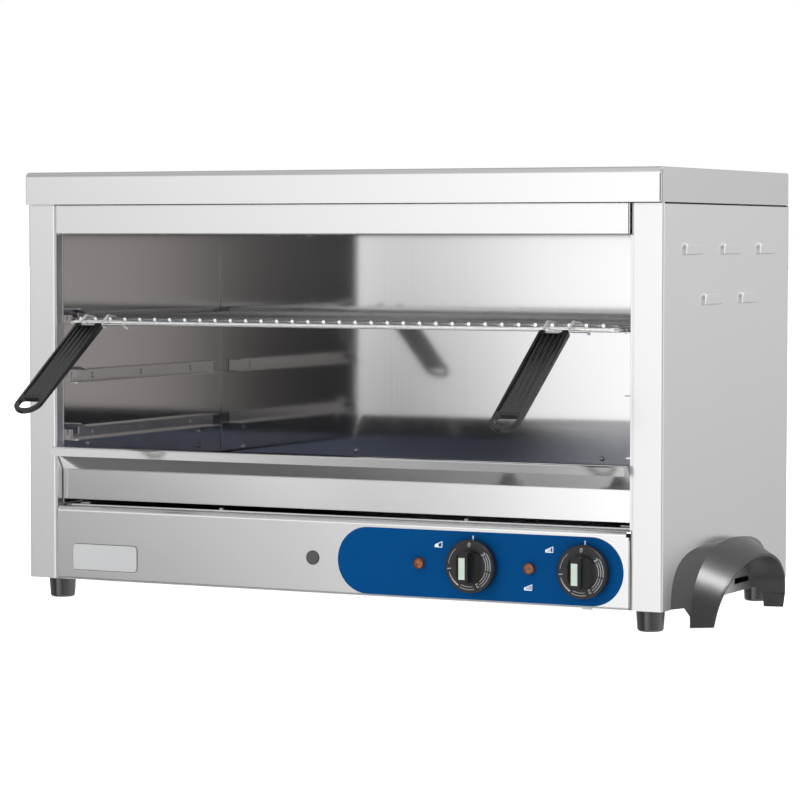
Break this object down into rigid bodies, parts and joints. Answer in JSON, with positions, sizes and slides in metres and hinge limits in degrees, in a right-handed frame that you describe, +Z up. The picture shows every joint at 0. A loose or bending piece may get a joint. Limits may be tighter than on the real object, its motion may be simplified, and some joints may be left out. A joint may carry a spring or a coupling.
{
  "type": "countertop salamander grill",
  "caption": "Open-front electric cheese melter in satin steel with a sliding wire rack on clip-on grips, a pull-out crumb tray and rotary heat controls.",
  "frame": {"origin": "middle of the footprint's bounding box, at the height of the table under the feet", "axes": "+X to the user's right along the width, +Y from the open front to the rear sheet, +Z up"},
  "size_m": [0.892, 0.562, 0.5],
  "materials": {
    "satin_steel": "satin brushed stainless sheet, grain along the length",
    "bright_steel": "bright cold-rolled stainless sheet, mirror-like",
    "galvanised": "zinc-coated sheet, faint spangle",
    "label_print": "printed film, satin blue with pale marks",
    "badge_metal": "bare anodised plate",
    "black_nylon": "matt moulded nylon",
    "mineral_wool": "pressed mineral fibre mat",
    "rivet_aluminium": "bright domed rivets",
    "heater_sheath": "oxidised dark alloy tube",
    "white_ceramic": "glazed white ceramic",
    "terminal_brass": "turned brass",
    "chrome_wire": "bright plated wire",
    "black_phenolic": "semi-gloss moulded phenolic",
    "mint_plastic": "pale insert",
    "zinc_steel": "zinc-plated steel",
    "grey_plastic": "glass-filled polyamide",
    "amber_lens": "translucent amber moulding",
    "silicone_sleeve": "braided silicone insulation",
    "foot_rubber": "matt black rubber",
    "dark_plastic": "fine-textured heat-resistant plastic"
  },
  "bodies": {
    "case": {"top_cover": "satin_steel", "side_panel_right": "satin_steel", "side_panel_left": "satin_steel", "rear_panel": "galvanised", "base_plate": "galvanised", "front_fascia": "satin_steel", "control_panel": "satin_steel", "control_label": "label_print", "badge_plate": "badge_metal", "hole_plug": "black_nylon", "liner_right": "bright_steel", "liner_left": "bright_steel", "liner_back": "bright_steel", "reflector": "bright_steel", "insulation": "mineral_wool", "cavity_floor": "bright_steel", "rack_guides_right": "bright_steel", "rack_guides_left": "bright_steel", "liner_rivets": "rivet_aluminium", "guide_rivets": "rivet_aluminium", "heating_element_right": "heater_sheath", "heating_element_left": "heater_sheath", "element_bushings": "white_ceramic", "element_terminals": "terminal_brass", "element_clips": "bright_steel", "tray_guides": "galvanised", "regulator_left": "grey_plastic", "regulator_right": "grey_plastic", "regulator_screws": "zinc_steel", "lamp_lens_left": "amber_lens", "lamp_body_left": "grey_plastic", "lamp_lens_right": "amber_lens", "lamp_body_right": "grey_plastic", "terminal_block": "white_ceramic", "cable_gland": "black_nylon", "gland_nut": "black_nylon", "wiring_loom": "silicone_sleeve", "feet": "foot_rubber", "foot_screws": "zinc_steel", "side_handle_right": "dark_plastic", "side_handle_left": "dark_plastic", "side_handle_screws": "zinc_steel", "cover_screws": "zinc_steel", "rear_screws": "zinc_steel", "floor_screws": "zinc_steel"},
    "rack": {"wire_rack": "chrome_wire"},
    "tray": {"crumb_tray": "bright_steel"},
    "handle_l": {"handle_wire_left": "chrome_wire", "handle_grip_left": "black_phenolic"},
    "handle_r": {"handle_wire_right": "chrome_wire", "handle_grip_right": "black_phenolic"},
    "knob_l": {"knob_left": "black_phenolic", "knob_insert_left": "mint_plastic", "knob_shaft_left": "zinc_steel"},
    "knob_r": {"knob_right": "black_phenolic", "knob_insert_right": "mint_plastic", "knob_shaft_right": "zinc_steel"}
  },
  "joints": [
    {"name": "rack_slide", "type": "slide", "parent": "case", "child": "rack", "axis": [0, -1, 0], "range_m": [0, 0.22]},
    {"name": "tray_slide", "type": "slide", "parent": "case", "child": "tray", "axis": [0, -1, 0], "range_m": [0, 0.3]},
    {"name": "handle_left_tilt", "type": "hinge", "parent": "rack", "child": "handle_l", "pos_m": [-0.3092, -0.12047, 0.3253], "axis": [-1, 0, 0], "range_deg": [0, 50]},
    {"name": "handle_right_tilt", "type": "hinge", "parent": "rack", "child": "handle_r", "pos_m": [0.2792, -0.12047, 0.3253], "axis": [-1, 0, 0], "range_deg": [0, 50]},
    {"name": "knob_left_turn", "type": "hinge", "parent": "case", "child": "knob_l", "pos_m": [0.1775, -0.12547, 0.0643], "axis": [0, 1, 0], "range_deg": [0, 300]},
    {"name": "knob_right_turn", "type": "hinge", "parent": "case", "child": "knob_r", "pos_m": [0.311, -0.12547, 0.0643], "axis": [0, 1, 0], "range_deg": [0, 300]}
  ]
}
